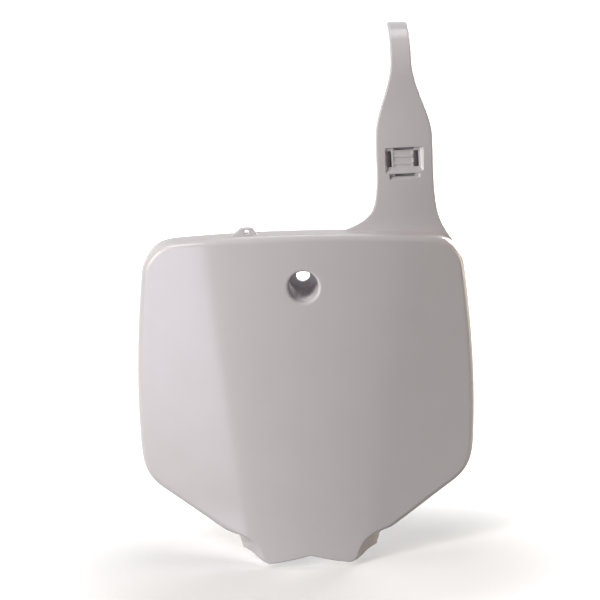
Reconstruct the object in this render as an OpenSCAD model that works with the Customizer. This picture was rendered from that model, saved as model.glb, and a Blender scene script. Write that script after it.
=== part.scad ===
// Racing number board for a small off-road bike: one moulding with a bolt pocket and a bar strap.
// The origin is where the bolt's axis meets the back of the pocket's floor.
// +X is to the right seen from the front, +Y goes back along the bolt, +Z is up.

/* [Board] */
// Width across the widest point of the sides
board_w = 227; // [200:1:250]
// Height of the top edge over the bolt, in the middle
top_h = 33; // [30:1:40]
// Depth of the widest point of the sides below the bolt
waist_drop = 82; // [70:1:88]
// Drop from the bolt to the tip of the notch between the feet
notch_drop = 175.2; // [172:1:190]
// Wall of the whole moulding
wall = 2.4; // [2:0.1:2.8]
// Outer radius where the face rolls over into the flange
edge_r = 4; // [3.2:0.1:5]
// Depth of the flange behind the face
flange_d = 12; // [10:0.5:16]
// How far the face leans back, in degrees
lean = 13; // [8:0.5:18]

/* [Face] */
// Half the width between the creases at the height of the bolt
crease_x = 63; // [55:1:70]
// How much the creases close in, for each mm of drop
crease_close = 0.13; // [0.08:0.01:0.16]
// Angle of the centre panel at the creases, in degrees
panel_angle = 8.5; // [4:0.5:12]
// Angle of the wings, in degrees
wing_angle = 14.5; // [13:0.5:20]
// Half width of the soft crease at the height of the bolt
crease_soft = 8; // [4:0.5:10]
// Drop at which the nose starts to turn forward
nose_start = 140; // [120:5:150]
// How far the nose has turned forward 40 mm further down
nose_out = 4; // [1:0.5:7]

/* [Nose] */
// Half width between the folds at the foot
foot_x = 29.6; // [25:0.5:33]
// Half width over the step corners of the side walls
step_x = 44.8; // [40:0.5:48]
// Depth of the flange at the step corners
step_d = 9.5; // [7:0.5:11]
// Depth of the edge round the notch
notch_d = 3.4; // [3.4:0.1:5]

/* [Bolt pocket] */
// Diameter of the pocket at its mouth
pocket_dia = 19.4; // [17:0.2:22]
// Distance from the pocket's mouth to the back of its floor
pocket_d = 27; // [20:0.5:32]
// Thickness of the pocket's floor
floor_t = 3; // [2.5:0.1:4]
// Diameter of the bolt hole
bolt_dia = 9.2; // [6.4:0.1:10]
// Radius of the pocket's rolled mouth
mouth_r = 2.3; // [1:0.1:3]

/* [Strap] */
// Distance of the strap's middle from the bolt's middle
strap_x = 68.9; // [62:0.1:74]
// Thickness of the strap
strap_t = 2.6; // [2.2:0.1:3.2]
// Width of the strap at its buckle
strap_w = 37.9; // [36:0.1:42]
// Width of the strap's tongue
tongue_w = 13.4; // [12:0.2:16]
// How far the tongue's middle lies to the left of the strap's
tongue_shift = 1.4; // [0:0.1:2]
// Lean of the strap up to the buckle, in degrees
strap_lean = 16; // [10:0.5:20]
// Height over the bolt at which the lean starts to straighten
straight_h = 86; // [84:1:90]
// Height over the bolt at which the tongue bends back
bend_h = 125.4; // [122:0.2:134]
// Outer radius of the tongue's bend
bend_r = 33; // [28:0.5:36]
// Straight end of the tongue
tongue_end = 2; // [2:0.5:10]

/* [Buckle] */
// Width of the buckle's recess
recess_w = 25.6; // [24:0.2:28]
// Height of the buckle's recess
recess_h = 16.4; // [15:0.2:18]
// Depth of the recess
recess_d = 2; // [1:0.1:2]
// Height of the recess's middle over the bolt
recess_z = 75; // [72:0.2:77]
// Width of the bridge between the windows
bridge_w = 14.8; // [13:0.2:16]
// Height of the windows
window_h = 10.4; // [8:0.2:11]
// How far the bridge and its windows lie to the left of the recess's middle
window_shift = 0.8; // [0:0.1:1.2]
// Depth of the space behind the bridge
tunnel_d = 3.8; // [3:0.1:5]

/* [Eyelet] */
// Distance of the eyelet from the bolt's middle
eyelet_x = -36.4; // [-60:0.2:-20]
// Diameter of the eyelet's hole
eyelet_dia = 2.8; // [2:0.1:3.2]
// Thickness of the eyelet
eyelet_t = 3.6; // [2.5:0.1:5]

/* [Hidden] */
$fn = 64;
half_w = board_w / 2;
slack = 0.01;
// The angle of the two straight lower edges below the level
slant = 30;
// How far the flange's rim stands outside the edge of the face
draft = 0.4;

// A point and a heading on a cubic curve whose ends have given headings
function unit(a) = [cos(a), sin(a)];
function turn(a) = a > 180 ? a - 360 : (a <= -180 ? a + 360 : a);
function handle(p, q, a, b) =
    norm(q - p) / (3 * pow(cos(turn(b - a) / 4), 2));
function curve(p, q, a, b, t) =
    let (h = handle(p, q, a, b), u = 1 - t)
    u * u * u * p + 3 * u * u * t * (p + h * unit(a))
    + 3 * u * t * t * (q - h * unit(b)) + t * t * t * q;
function blend(a, b, t) = a + (b - a) * t;
function ease(t) = t * t * (3 - 2 * t);

// Height of the front of the board over the plane square to the bolt
function crease_at(z) = crease_x + crease_close * z;
function soft_at(z) = crease_soft * max(0.35, 1 + z / 260);
function hinge(d, soft) = (d + sqrt(d * d + soft * soft)) / 2;
function across(x, z) =
    let (c = crease_at(z), a = abs(x), in_slope = tan(panel_angle), out_slope = tan(wing_angle))
    (a < c ? in_slope * a * a / (2 * c) : in_slope * (a - c / 2))
    + (out_slope - in_slope) * hinge(a - c, soft_at(z));
function nose_turn(z) = z < -nose_start ? nose_out * pow((z + nose_start) / 40, 2) : 0;
function face_y(p) =
    -pocket_d + p[1] * tan(lean) + across(p[0], p[1]) - across(0, 0) - nose_turn(p[1]);

// Corners of half the outline, from the top's middle to the notch. Each has the edge's point and
// heading, the rim's point and its headings in and out, the edge radius and the flange's depth
shoulder_in = 33.2;
shoulder_drop = 5;
corner_in = 14.6;
corner_drop = 12;
upper_in = 5.8;
upper_drop = 28;
lower_in = 0.7;
lower_drop = 26;
bottom_in = 5.2;
bottom_drop = 46.2;
slant_in = 16.2;
slant_drop = 56.2;
slant_stop = 28.2;
fold_top_out = 14.6;
fold_top_drop = 3.4;
fold_mid_out = 6.9;
fold_mid_drop = 7.8;
fold_low_out = 3;
fold_low_drop = 14.8;
foot_drop = 4.2;
foot_w = 3.8;
foot_tip_drop = 4.9;
step_top_out = 2.4;
step_top_drop = 7;
step_drop = 13;
rim_mid_out = 6.4;
rim_mid_drop = 2;
rim_foot_out = 0.6;
rim_foot_drop = 4.8;
shoulder = [half_w - shoulder_in, top_h - shoulder_drop];
corner = [half_w - corner_in, top_h - corner_drop];
upper = [half_w - upper_in, top_h - upper_drop];
waist = [half_w, -waist_drop];
lower = [half_w - lower_in, -waist_drop - lower_drop];
bottom = [half_w - bottom_in, -waist_drop - bottom_drop];
slant_top = [half_w - slant_in, -waist_drop - slant_drop];
slant_len = (slant_top[0] - foot_x - slant_stop) / cos(slant);
slant_end = slant_top - slant_len * unit(slant);
fold_top = [foot_x + fold_top_out, slant_end[1] - fold_top_drop];
fold_mid = [foot_x + fold_mid_out, slant_end[1] - fold_mid_drop];
fold_low = [foot_x + fold_low_out, slant_end[1] - fold_low_drop];
foot_out = [foot_x, -notch_drop - foot_drop];
foot_in = [foot_x - foot_w, -notch_drop - foot_tip_drop];
notch = [0, -notch_drop];
step_top = [step_x + step_top_out, slant_end[1] - step_top_drop];
step_low = [step_x, slant_end[1] - step_drop];
rim_mid = [foot_x + rim_mid_out, -notch_drop - rim_mid_drop];
rim_foot = [foot_x + rim_foot_out, -notch_drop - rim_foot_drop];
KEYS = [
    [[0, top_h], 0, [0, top_h], 0, 0, edge_r, flange_d, 20],
    [shoulder, -8, shoulder, -8, -8, edge_r, flange_d, 5],
    [corner, -45, corner, -45, -45, edge_r, flange_d, 3],
    [upper, -83, upper, -83, -83, edge_r, flange_d, 6],
    [waist, -90, waist, -90, -90, edge_r, flange_d, 2],
    [lower, -92.5, lower, -92.5, -92.5, edge_r, flange_d, 3],
    [bottom, -121, bottom, -121, -121, edge_r, flange_d, 3],
    [slant_top, -150, slant_top, -150, -150, edge_r, flange_d, 4],
    [slant_end, -151, slant_end, -151, -151, edge_r, flange_d, 3],
    [fold_top, -158, step_top, -140, -108, 0.55 * edge_r, blend(flange_d, step_d, 0.6), 2],
    [fold_mid, -128, step_low, -103, -166, 0.42 * edge_r, step_d, 3],
    [fold_low, -108, rim_mid, -143, -143, 0.38 * edge_r, blend(step_d, notch_d, 0.6), 3],
    [foot_out, -140, rim_foot, -162, -162, 0.35 * edge_r, notch_d + 0.2, 3],
    [foot_in, -187, foot_in, -187, -187, 0.3 * edge_r, notch_d, 4],
    [notch, -193, notch, -193, -193, 0.3 * edge_r, notch_d, 0]
];
// The corners at which the top, the side and the bottom of the outline meet
TOP_END = 2;
SIDE_END = 6;

// One sample of the outline: edge point, outward normal, rim point, edge radius, flange depth
function sample(k, t) =
    let (a = KEYS[k], b = KEYS[k + 1],
         p = curve(a[0], b[0], a[1], b[1], t),
         q = curve(a[2], b[2], a[4], b[3], t),
         step = 0.01,
         t0 = max(0, t - step), t1 = min(1, t + step),
         d = curve(a[0], b[0], a[1], b[1], t1) - curve(a[0], b[0], a[1], b[1], t0),
         n = abs(p[0]) < slack ? [0, p[1] > 0 ? 1 : -1] : [-d[1], d[0]] / norm(d))
    [p, n, q, blend(a[5], b[5], ease(t)), blend(a[6], b[6], t)];
HALF = [
    for (k = [0 : len(KEYS) - 2]) for (i = [0 : KEYS[k][7] - 1]) sample(k, i / KEYS[k][7]),
    sample(len(KEYS) - 2, 1)
];
function count_to(k) = k == 0 ? 0 : KEYS[k - 1][7] + count_to(k - 1);
COLS = count_to(TOP_END);
ROWS = count_to(SIDE_END) - COLS;

// Points of one section of the wall at a sample, as [x, z] and the depth behind the face
function inner_r(s) = max(s[3] - wall, 0.3);
ROUND_STEPS = 3;
function outer_section(s) = [
    for (i = [0 : ROUND_STEPS])
        let (a = 90 * i / ROUND_STEPS, p = s[0] - s[1] * s[3] * (1 - sin(a)))
        [p[0], face_y(p) + s[3] * (1 - cos(a)), p[1]],
    let (p = (s[0] + s[2]) / 2 + s[1] * draft / 2, y = face_y(s[0]))
        [p[0], y + (s[3] + s[4]) / 2, p[1]],
    let (p = s[2] + s[1] * draft)
        [p[0], face_y(s[0]) + s[4], p[1]]
];
function inner_section(s) = [
    let (p = s[2] + s[1] * (draft - wall))
        [p[0], face_y(s[0]) + s[4], p[1]],
    for (i = [ROUND_STEPS - 1 : -1 : 0])
        let (a = 90 * i / (ROUND_STEPS - 1), r = inner_r(s),
             p = s[0] - s[1] * (wall + r * (1 - sin(a))))
        [p[0], face_y(p) + wall + r * (1 - cos(a)), p[1]]
];

// A smooth sheet of points between the edge of the face and its middle line
function sheet_point(edge, u, v) =
    let (top = edge[round(u * COLS)],
         side = edge[COLS + round(v * ROWS)],
         bottom = edge[len(edge) - 1 - round(u * COLS)],
         middle = blend(edge[0], edge[len(edge) - 1], v),
         c0 = edge[0], c1 = edge[COLS], c2 = edge[COLS + ROWS], c3 = edge[len(edge) - 1])
    blend(top, bottom, v) + blend(middle, side, u)
    - blend(blend(c0, c1, u), blend(c3, c2, u), v);
function sheet(edge, depth) = [
    for (j = [0 : ROWS]) for (i = [-COLS : COLS])
        let (q = sheet_point(edge, abs(i) / COLS, j / ROWS), p = [sign(i) * q[0], q[1]])
        [p[0], face_y(p) + depth, p[1]]
];
FACE_EDGE = [for (s = HALF) s[0] - s[1] * s[3]];
BACK_EDGE = [for (s = HALF) s[0] - s[1] * (wall + inner_r(s))];

function mirrored(p) = [-p[0], p[1], p[2]];
function loop(halves) = [
    for (s = halves) s,
    for (i = [len(halves) - 2 : -1 : 1]) [for (p = halves[i]) mirrored(p)]
];
SECTIONS = loop([for (s = HALF) concat(outer_section(s), inner_section(s))]);
N = len(SECTIONS);
M = len(SECTIONS[0]);
SPAN = 2 * COLS + 1;
SHEET = SPAN * (ROWS + 1);
SHELL_POINTS = concat(
    sheet(FACE_EDGE, 0),
    sheet(BACK_EDGE, wall),
    [for (k = [1 : M - 2]) for (i = [0 : N - 1]) SECTIONS[i][k]]
);
// Index of the sheet's point at place i of the loop
function rim_index(i) =
    i <= COLS ? COLS + i
    : i <= COLS + ROWS ? (i - COLS) * SPAN + SPAN - 1
    : i <= 3 * COLS + ROWS ? ROWS * SPAN + SPAN - 1 - (i - COLS - ROWS)
    : i <= 3 * COLS + 2 * ROWS ? (3 * COLS + 2 * ROWS - i) * SPAN
    : i - 3 * COLS - 2 * ROWS;
function wall_index(i, k) =
    k == 0 ? rim_index(i)
    : k == M - 1 ? SHEET + rim_index(i)
    : 2 * SHEET + (k - 1) * N + i;
function two(a, b, c, d) = [[a, b, c], [a, c, d]];
SHELL_FACES = concat(
    [for (j = [0 : ROWS - 1]) for (i = [0 : SPAN - 2])
        let (a = j * SPAN + i)
        each two(a, a + 1, a + SPAN + 1, a + SPAN)],
    [for (j = [0 : ROWS - 1]) for (i = [0 : SPAN - 2])
        let (a = SHEET + j * SPAN + i)
        each two(a, a + SPAN, a + SPAN + 1, a + 1)],
    [for (i = [0 : N - 1]) for (k = [0 : M - 2])
        let (n = (i + 1) % N)
        each two(wall_index(i, k), wall_index(i, k + 1), wall_index(n, k + 1), wall_index(n, k))]
);

// The face, its rolled edge, the flange and the nose
module shell() {
    polyhedron(points = SHELL_POINTS, faces = SHELL_FACES, convexity = 6);
}

// Turns a shape that stands along Z so that it stands along the bolt, pointing back
module along_bolt() {
    rotate([-90, 0, 0]) children();
}

cup_r = pocket_dia / 2 + wall;
// Outside of the pocket, from just inside the face to its seat
module pocket_boss() {
    intersection() {
        translate([0, -pocket_d + wall / 2 - cup_r * tan(lean), 0])
            along_bolt() cylinder(r = cup_r, h = pocket_d - wall / 2 + cup_r * tan(lean));
        pocket_keep();
    }
}

// Space behind the middle of the face, with a flat front inside the wall
module pocket_keep() {
    translate([0, -pocket_d + wall / 2, 0])
        rotate([-lean, 0, 0]) translate([-2 * cup_r, 0, -2 * cup_r])
            cube([4 * cup_r, 2 * pocket_d, 4 * cup_r]);
}

// Space inside the pocket, its rolled mouth and the bolt hole
module pocket_space() {
    translate([0, -pocket_d - cup_r, 0])
        along_bolt() cylinder(r = pocket_dia / 2, h = pocket_d + cup_r - floor_t);
    translate([0, -floor_t - 1, 0]) along_bolt() cylinder(r = bolt_dia / 2, h = floor_t + 2);
    translate([0, -pocket_d, 0]) rotate([-lean, 0, 0]) along_bolt() mouth_cut();
}

// What the mouth's rounding takes away, as a turned shape round the axis of the leaning face
module mouth_cut() {
    reach = 3;
    rotate_extrude()
        polygon(concat(
            [[0, -reach], [pocket_dia / 2 + mouth_r, -reach], [pocket_dia / 2 + mouth_r, 0]],
            [for (a = [80 : -10 : 0])
                [pocket_dia / 2 + mouth_r * (1 - cos(a)), mouth_r * (1 - sin(a))]],
            [[0, mouth_r]]
        ));
}

// Height of the board's top edge and seat of the strap's root, at a distance from the middle
TOP_LINE = [for (i = [0 : COLS + 3]) HALF[i][0]];
function rim_z(x) = lookup(x, TOP_LINE);
function root_y(x) = face_y([x, rim_z(x)]) + flange_d - strap_t;
root_top = rim_z(strap_x);
// Places along the strap's front, as [y, z]
knee = [root_y(strap_x) + (straight_h - root_top) * tan(strap_lean), straight_h];
knee_r = (bend_h - straight_h) / sin(strap_lean);
bend = knee + [knee_r * (1 - cos(strap_lean)), bend_h - straight_h];
tip_y = bend[0] + bend_r + tongue_end;
// The strap is crowned across, and its root follows the rim until it is flat at the buckle
crown_r = 300;
flat_h = 110;
function lean_at(z) =
    z < straight_h ? strap_lean
    : z < bend_h ? asin((bend_h - z) / knee_r)
    : asin((z - bend_h) / bend_r);
function middle_y(z) =
    z < straight_h ? knee[0] - (straight_h - z) * tan(strap_lean)
    : bend[0] + (1 - cos(lean_at(z))) * (z < bend_h ? -knee_r : bend_r);
function follow(z) = 1 - ease(min(1, max(0, (z - root_top) / (flat_h - root_top))));
function strap_y(x, z) =
    blend(middle_y(z) + pow(x - strap_x, 2) / (2 * crown_r),
          root_y(x) + (z - rim_z(x)) * tan(strap_lean), follow(z));

// The strap's two sides from the root to the bend: [x, z] and heading
flare_left = 23.1;
flare_right = 13;
hip_left = 4.6;
hip_left_h = 9.3;
hip_right = 4.4;
hip_right_h = 2.5;
waist_out = 1.1;
waist_left_h = 18;
waist_right_h = 20;
neck_left = 6.8;
neck_right = 8.6;
neck_below = 7.4;
taper_h = 12.6;
taper_out = 0.2;
tip_shift = 0.7;
tip_soft = 1.2;
root_sink = 1.4;
left_x = strap_x - strap_w / 2;
right_x = strap_x + strap_w / 2;
tongue_x = strap_x - tongue_shift;
shoulder_h = straight_h + 3;
neck_h = bend_h - neck_below;
LEFT_KEYS = [
    [[left_x - flare_left, rim_z(left_x - flare_left)], 20],
    [[left_x - hip_left, top_h + hip_left_h], 50],
    [[left_x - waist_out, top_h + waist_left_h], 80],
    [[left_x, shoulder_h], 89],
    [[left_x + neck_left, neck_h], 73],
    [[tongue_x - tongue_w / 2 - taper_out, bend_h + taper_h], 87]
];
RIGHT_KEYS = [
    [[right_x + flare_right, rim_z(right_x + flare_right)], 130],
    [[right_x + hip_right, top_h + hip_right_h], 111],
    [[right_x + waist_out, top_h + waist_right_h], 95],
    [[right_x, shoulder_h], 92],
    [[right_x - neck_right, neck_h], 109.5],
    [[tongue_x + tongue_w / 2 + taper_out, bend_h + taper_h], 94]
];
STRAP_STEPS = 5;
BEND_STEPS = 9;
STRAP_COLS = 6;
function side_points(keys) = [
    for (k = [0 : len(keys) - 2]) for (i = [0 : STRAP_STEPS - 1])
        curve(keys[k][0], keys[k + 1][0], keys[k][1], keys[k + 1][1], i / STRAP_STEPS)
];
LEFT_SIDE = side_points(LEFT_KEYS);
RIGHT_SIDE = side_points(RIGHT_KEYS);
// A row across the strap: its front points and the direction through its thickness
function through(a) = strap_t * [0, cos(a), -sin(a)];
function low_row(j) =
    let (l = LEFT_SIDE[j], r = RIGHT_SIDE[j], level = (l[1] + r[1]) / 2)
    [[for (i = [0 : STRAP_COLS])
        let (t = i / STRAP_COLS, p = blend(l, r, t),
             bow = rim_z(p[0]) - blend(rim_z(l[0]), rim_z(r[0]), t),
             z = p[1] + follow(level) * bow - (j == 0 ? root_sink : 0))
        [p[0], strap_y(p[0], z), z]],
     through(lean_at(level))];
function high_row(t, y, z, a, w) =
    let (middle = tongue_x - tip_shift * t * t)
    [[for (i = [0 : STRAP_COLS]) [middle + w * (i / STRAP_COLS - 0.5), y, z]], through(a)];
first_bend = asin(taper_h / bend_r);
STRAP_ROWS = [
    for (j = [0 : len(LEFT_SIDE) - 1]) low_row(j),
    for (i = [0 : BEND_STEPS])
        let (a = blend(first_bend, 90, i / BEND_STEPS))
        high_row(i / BEND_STEPS,
                 bend[0] + bend_r * (1 - cos(a)), bend[1] + bend_r * sin(a), a,
                 tongue_w + 2 * taper_out * pow(1 - i / BEND_STEPS, 2)),
    high_row(1, tip_y - tip_soft, bend[1] + bend_r, 90, tongue_w),
    high_row(1, tip_y, bend[1] + bend_r, 90, tongue_w - 2 * tip_soft)
];
STRAP_N = STRAP_COLS + 1;
STRAP_SHEET = STRAP_N * len(STRAP_ROWS);
STRAP_POINTS = concat(
    [for (r = STRAP_ROWS) each r[0]],
    [for (r = STRAP_ROWS) for (p = r[0]) p + r[1]]
);
STRAP_FACES = concat(
    [for (j = [0 : len(STRAP_ROWS) - 2]) for (i = [0 : STRAP_COLS - 1])
        let (a = j * STRAP_N + i)
        each two(a, a + STRAP_N, a + STRAP_N + 1, a + 1)],
    [for (j = [0 : len(STRAP_ROWS) - 2]) for (i = [0 : STRAP_COLS - 1])
        let (a = STRAP_SHEET + j * STRAP_N + i)
        each two(a, a + 1, a + STRAP_N + 1, a + STRAP_N)],
    [for (j = [0 : len(STRAP_ROWS) - 2])
        let (a = j * STRAP_N, b = a + STRAP_SHEET)
        each two(a, b, b + STRAP_N, a + STRAP_N)],
    [for (j = [0 : len(STRAP_ROWS) - 2])
        let (a = j * STRAP_N + STRAP_COLS, b = a + STRAP_SHEET)
        each two(a, a + STRAP_N, b + STRAP_N, b)],
    [for (i = [0 : STRAP_COLS - 1])
        each two(i, i + 1, i + 1 + STRAP_SHEET, i + STRAP_SHEET)],
    [for (i = [0 : STRAP_COLS - 1])
        let (a = (len(STRAP_ROWS) - 1) * STRAP_N + i)
        each two(a, a + STRAP_SHEET, a + 1 + STRAP_SHEET, a + 1)]
);
module strap_blank() {
    polyhedron(points = STRAP_POINTS, faces = STRAP_FACES, convexity = 6);
}

// Draws a sheet of the XZ plane as a block along the bolt
module through_board(from, to) {
    translate([0, to, 0]) rotate([90, 0, 0]) linear_extrude(to - from) children();
}

// Places its children on the strap's leaning front, with the recess's middle at the origin
buckle_turn = atan((strap_y(strap_x + recess_w / 2, recess_z)
                    - strap_y(strap_x - recess_w / 2, recess_z)) / recess_w);
module on_buckle() {
    translate([strap_x, middle_y(recess_z), recess_z])
        rotate([0, 0, buckle_turn]) rotate([-strap_lean, 0, 0]) children();
}

// The buckle's housing behind the strap, and what is cut into it
housing_edge = 2.2;
housing_head = 3.4;
housing_foot = 6.6;
housing_slope = 2.4;
bridge_t = 1.4;
back_wall = 1.6;
ramp_left = 1;
ramp_right = 1.8;
ramp_foot = 2.4;
ramp_head = 0.4;
window_w = 3.4;
window_z = 0.8;
slot_h = 1.6;
top_slot_w = 13.6;
lip_t = 0.8;
exit_w = 20.8;
exit_h = 4.4;
exit_ramp = 2;
exit_slot_w = 13.2;
rib_h = 1.4;
rib_d = 0.6;
rib_w = 13.6;
RIB_Z = [-2.2, 2.6];
bridge_back = recess_d + bridge_t;
tunnel_back = bridge_back + tunnel_d;
housing_t = tunnel_back + back_wall;
slot_top = -recess_h / 2 - lip_t;

// A shape drawn by depth and height, as a block across the strap from x to x
module across_strap(from, to) {
    translate([from, 0, 0]) rotate([90, 0, 90]) linear_extrude(to - from) children();
}

// A block in the buckle, from corner to corner: across, into and up the strap
module buckle_block(low, high) {
    translate(low) cube(high - low);
}

module buckle_housing() {
    low = -recess_h / 2 - housing_foot;
    high = recess_h / 2 + housing_head;
    side = recess_w / 2 + housing_edge;
    on_buckle() across_strap(-side, side) polygon([
        [strap_t / 2, low], [housing_t, low + housing_slope],
        [housing_t, high - housing_slope], [strap_t / 2, high]
    ]);
}

// The recess's sides slope in to its floor
module recess_space() {
    x = recess_w / 2;
    z = recess_h / 2;
    polyhedron(points = [
        [-x, 0, -z], [x, 0, -z], [x, 0, z], [-x, 0, z],
        [ramp_left - x, recess_d, ramp_foot - z], [x - ramp_right, recess_d, ramp_foot - z],
        [x - ramp_right, recess_d, z - ramp_head], [ramp_left - x, recess_d, z - ramp_head]
    ], faces = [
        [0, 3, 2, 1], [4, 5, 6, 7], [0, 1, 5, 4], [1, 2, 6, 5], [2, 3, 7, 6], [3, 0, 4, 7]
    ]);
    buckle_block([-x, -1, -z], [x, slack, z]);
}

module buckle_cuts() {
    window_x = (bridge_w + window_w) / 2;
    tunnel_x = bridge_w / 2 + window_w;
    through = bridge_back + slack;
    exit_low = -recess_h / 2 - exit_h;
    on_buckle() {
        recess_space();
        buckle_block([-window_shift - tunnel_x, bridge_back, slot_top - slot_h],
                     [tunnel_x - window_shift, tunnel_back, recess_h / 2]);
        for (x = [-window_x, window_x])
            translate([x - window_shift, 0, window_z])
                buckle_block([-window_w / 2, 0, -window_h / 2], [window_w / 2, through, window_h / 2]);
        buckle_block([-top_slot_w / 2, 0, recess_h / 2 - slot_h],
                     [top_slot_w / 2, through, recess_h / 2 - slack]);
        across_strap(-exit_w / 2, exit_w / 2) polygon([
            [-1, slot_top], [-1, exit_low], [0, exit_low],
            [recess_d, exit_low + exit_ramp], [recess_d, slot_top]
        ]);
        buckle_block([-exit_slot_w / 2, 1, slot_top - slot_h], [exit_slot_w / 2, through, slot_top]);
    }
}

// Cross ribs on the bridge
module bridge_ribs() {
    on_buckle() for (z = RIB_Z)
        translate([-window_shift, recess_d, z])
            buckle_block([-rib_w / 2, -rib_d, -rib_h / 2], [rib_w / 2, slack, rib_h / 2]);
}

// Ratchet teeth under the tongue, along its bend
tooth_count = 4;
tooth_pitch = 4;
tooth_first = 3;
tooth_l = 2.8;
tooth_h = 1.2;
tooth_inset = 1.2;
module tongue_teeth() {
    inner_r = bend_r - strap_t;
    half = tongue_w / 2 - tooth_inset;
    for (k = [0 : tooth_count - 1])
        translate([tongue_x - tip_shift, bend[0] + bend_r, bend_h])
            rotate([tooth_first + k * tooth_pitch / inner_r * 180 / PI, 0, 0])
                across_strap(-half, half) polygon([
                    [-tooth_l / 2, inner_r - tooth_h], [tooth_l / 2, inner_r],
                    [tooth_l / 2, inner_r + strap_t / 3], [-tooth_l / 2, inner_r + strap_t / 3]
                ]);
}

module strap() {
    difference() {
        union() {
            strap_blank();
            buckle_housing();
        }
        buckle_cuts();
    }
    bridge_ribs();
    tongue_teeth();
}

// Small eyelet that stands on the top flange
eyelet_z = top_h + 1.2;
eyelet_y = face_y([eyelet_x, top_h]) + 6;
eyelet_rise = 3.6;
eyelet_shoulder = 3;
eyelet_root = 2.4;
eyelet_foot_left = 9.8;
eyelet_foot_right = 7.2;
eyelet_top_left = 4.6;
eyelet_top_right = 4.4;
eyelet_flat = 1.6;
module eyelet() {
    difference() {
        through_board(eyelet_y, eyelet_y + eyelet_t) translate([eyelet_x, top_h]) polygon([
            [-eyelet_foot_left, -eyelet_root], [-eyelet_foot_left, -0.6],
            [-eyelet_top_left, eyelet_shoulder], [-eyelet_flat, eyelet_rise],
            [eyelet_flat, eyelet_rise], [eyelet_top_right, eyelet_shoulder],
            [eyelet_foot_right, -0.6], [eyelet_foot_right, -eyelet_root]
        ]);
        translate([eyelet_x, eyelet_y - 1, eyelet_z])
            along_bolt() cylinder(d = eyelet_dia, h = eyelet_t + 2, $fn = 24);
    }
}

module number_board() {
    color([0.84, 0.82, 0.82]) difference() {
        union() {
            shell();
            pocket_boss();
            strap();
            eyelet();
        }
        pocket_space();
    }
}

number_board();
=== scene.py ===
import math
import bmesh
import bpy
import numpy as np
from mathutils import Matrix, Vector


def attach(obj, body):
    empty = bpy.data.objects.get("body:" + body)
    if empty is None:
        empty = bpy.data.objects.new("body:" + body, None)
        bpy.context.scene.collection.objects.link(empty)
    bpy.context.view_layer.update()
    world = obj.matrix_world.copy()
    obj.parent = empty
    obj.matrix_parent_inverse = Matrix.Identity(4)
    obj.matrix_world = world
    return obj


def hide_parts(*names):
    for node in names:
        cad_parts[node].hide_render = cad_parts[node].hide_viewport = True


# A racing number board, white polypropylene in one shot, on a pale floor.
# Lengths are in millimetres up to the meshes, which are in metres like the frame.
# X to the right seen from the front, Y back along the bolt, Z up.
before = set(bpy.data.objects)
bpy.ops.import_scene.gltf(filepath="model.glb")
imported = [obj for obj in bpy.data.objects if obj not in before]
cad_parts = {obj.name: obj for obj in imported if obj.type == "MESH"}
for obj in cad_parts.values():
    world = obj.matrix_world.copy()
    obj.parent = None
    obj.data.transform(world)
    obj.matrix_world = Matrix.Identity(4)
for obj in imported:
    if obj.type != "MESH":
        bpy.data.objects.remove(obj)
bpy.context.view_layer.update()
mm = 0.001
weldMm = 0.002  # points nearer than this become one
thirds = (0.33, 0.66)
fourths = (0.25, 0.5, 0.75)


def tan(degrees):
    return math.tan(math.radians(degrees))


def heading(degrees):
    return np.array([math.cos(math.radians(degrees)), math.sin(math.radians(degrees))])


def quarter(steps, start=0, end=90):
    # angles of a quarter turn, in radians
    return np.radians(np.linspace(start, end, steps + 1))


def smooth(t):
    return t * t * (3 - 2 * t)


def unit(vectors):
    return vectors / np.linalg.norm(vectors, axis=1)[:, None]


def curve(p, q, a, b, t):
    # cubic through p and q with the headings a and b, at the places t
    p, q, t = np.asarray(p, float), np.asarray(q, float), np.atleast_1d(t)[:, None]
    turn = (b - a + 180) % 360 - 180
    reach = np.linalg.norm(q - p) / (3 * math.cos(math.radians(turn / 4)) ** 2)
    u = 1 - t
    return (u ** 3 * p + 3 * u * u * t * (p + reach * heading(a))
            + 3 * u * t * t * (q - reach * heading(b)) + t ** 3 * q)


def meshObject(name, points, faces):
    mesh = bpy.data.meshes.new(name)
    mesh.from_pydata((np.asarray(points) * mm).tolist(), [], faces)
    mesh.validate()
    mesh.update()
    piece = bpy.data.objects.new(name, mesh)
    bpy.context.scene.collection.objects.link(piece)
    return piece


def faceOutwards(piece):
    work = bmesh.new()
    work.from_mesh(piece.data)
    bmesh.ops.remove_doubles(work, verts=work.verts, dist=weldMm * mm)
    bmesh.ops.recalc_face_normals(work, faces=work.faces)
    work.to_mesh(piece.data)
    work.free()


def ringObject(name, rings, closed=False):
    # a skin through rings of points: the last ring joins the first, or both ends are capped
    size, faces = len(rings[0]), []
    for j in range(len(rings) if closed else len(rings) - 1):
        a = j * size
        b = (j + 1) % len(rings) * size
        for i in range(size):
            n = (i + 1) % size
            faces.append((a + i, a + n, b + n, b + i))
    if not closed:
        faces += [tuple(range(size)), tuple(range((len(rings) - 1) * size, len(rings) * size))]
    piece = meshObject(name, np.vstack(rings), faces)
    faceOutwards(piece)
    return piece


def keepMesh(piece):
    # turns the modifiers into a plain mesh and drops them
    solid = bpy.data.meshes.new_from_object(piece.evaluated_get(bpy.context.evaluated_depsgraph_get()))
    piece.modifiers.clear()
    piece.data = solid


def cutOrJoin(piece, tool, operation):
    step = piece.modifiers.new(operation.lower(), "BOOLEAN")
    step.operation = operation
    step.solver = "MANIFOLD"
    step.object = tool
    keepMesh(piece)
    bpy.data.objects.remove(tool)


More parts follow.
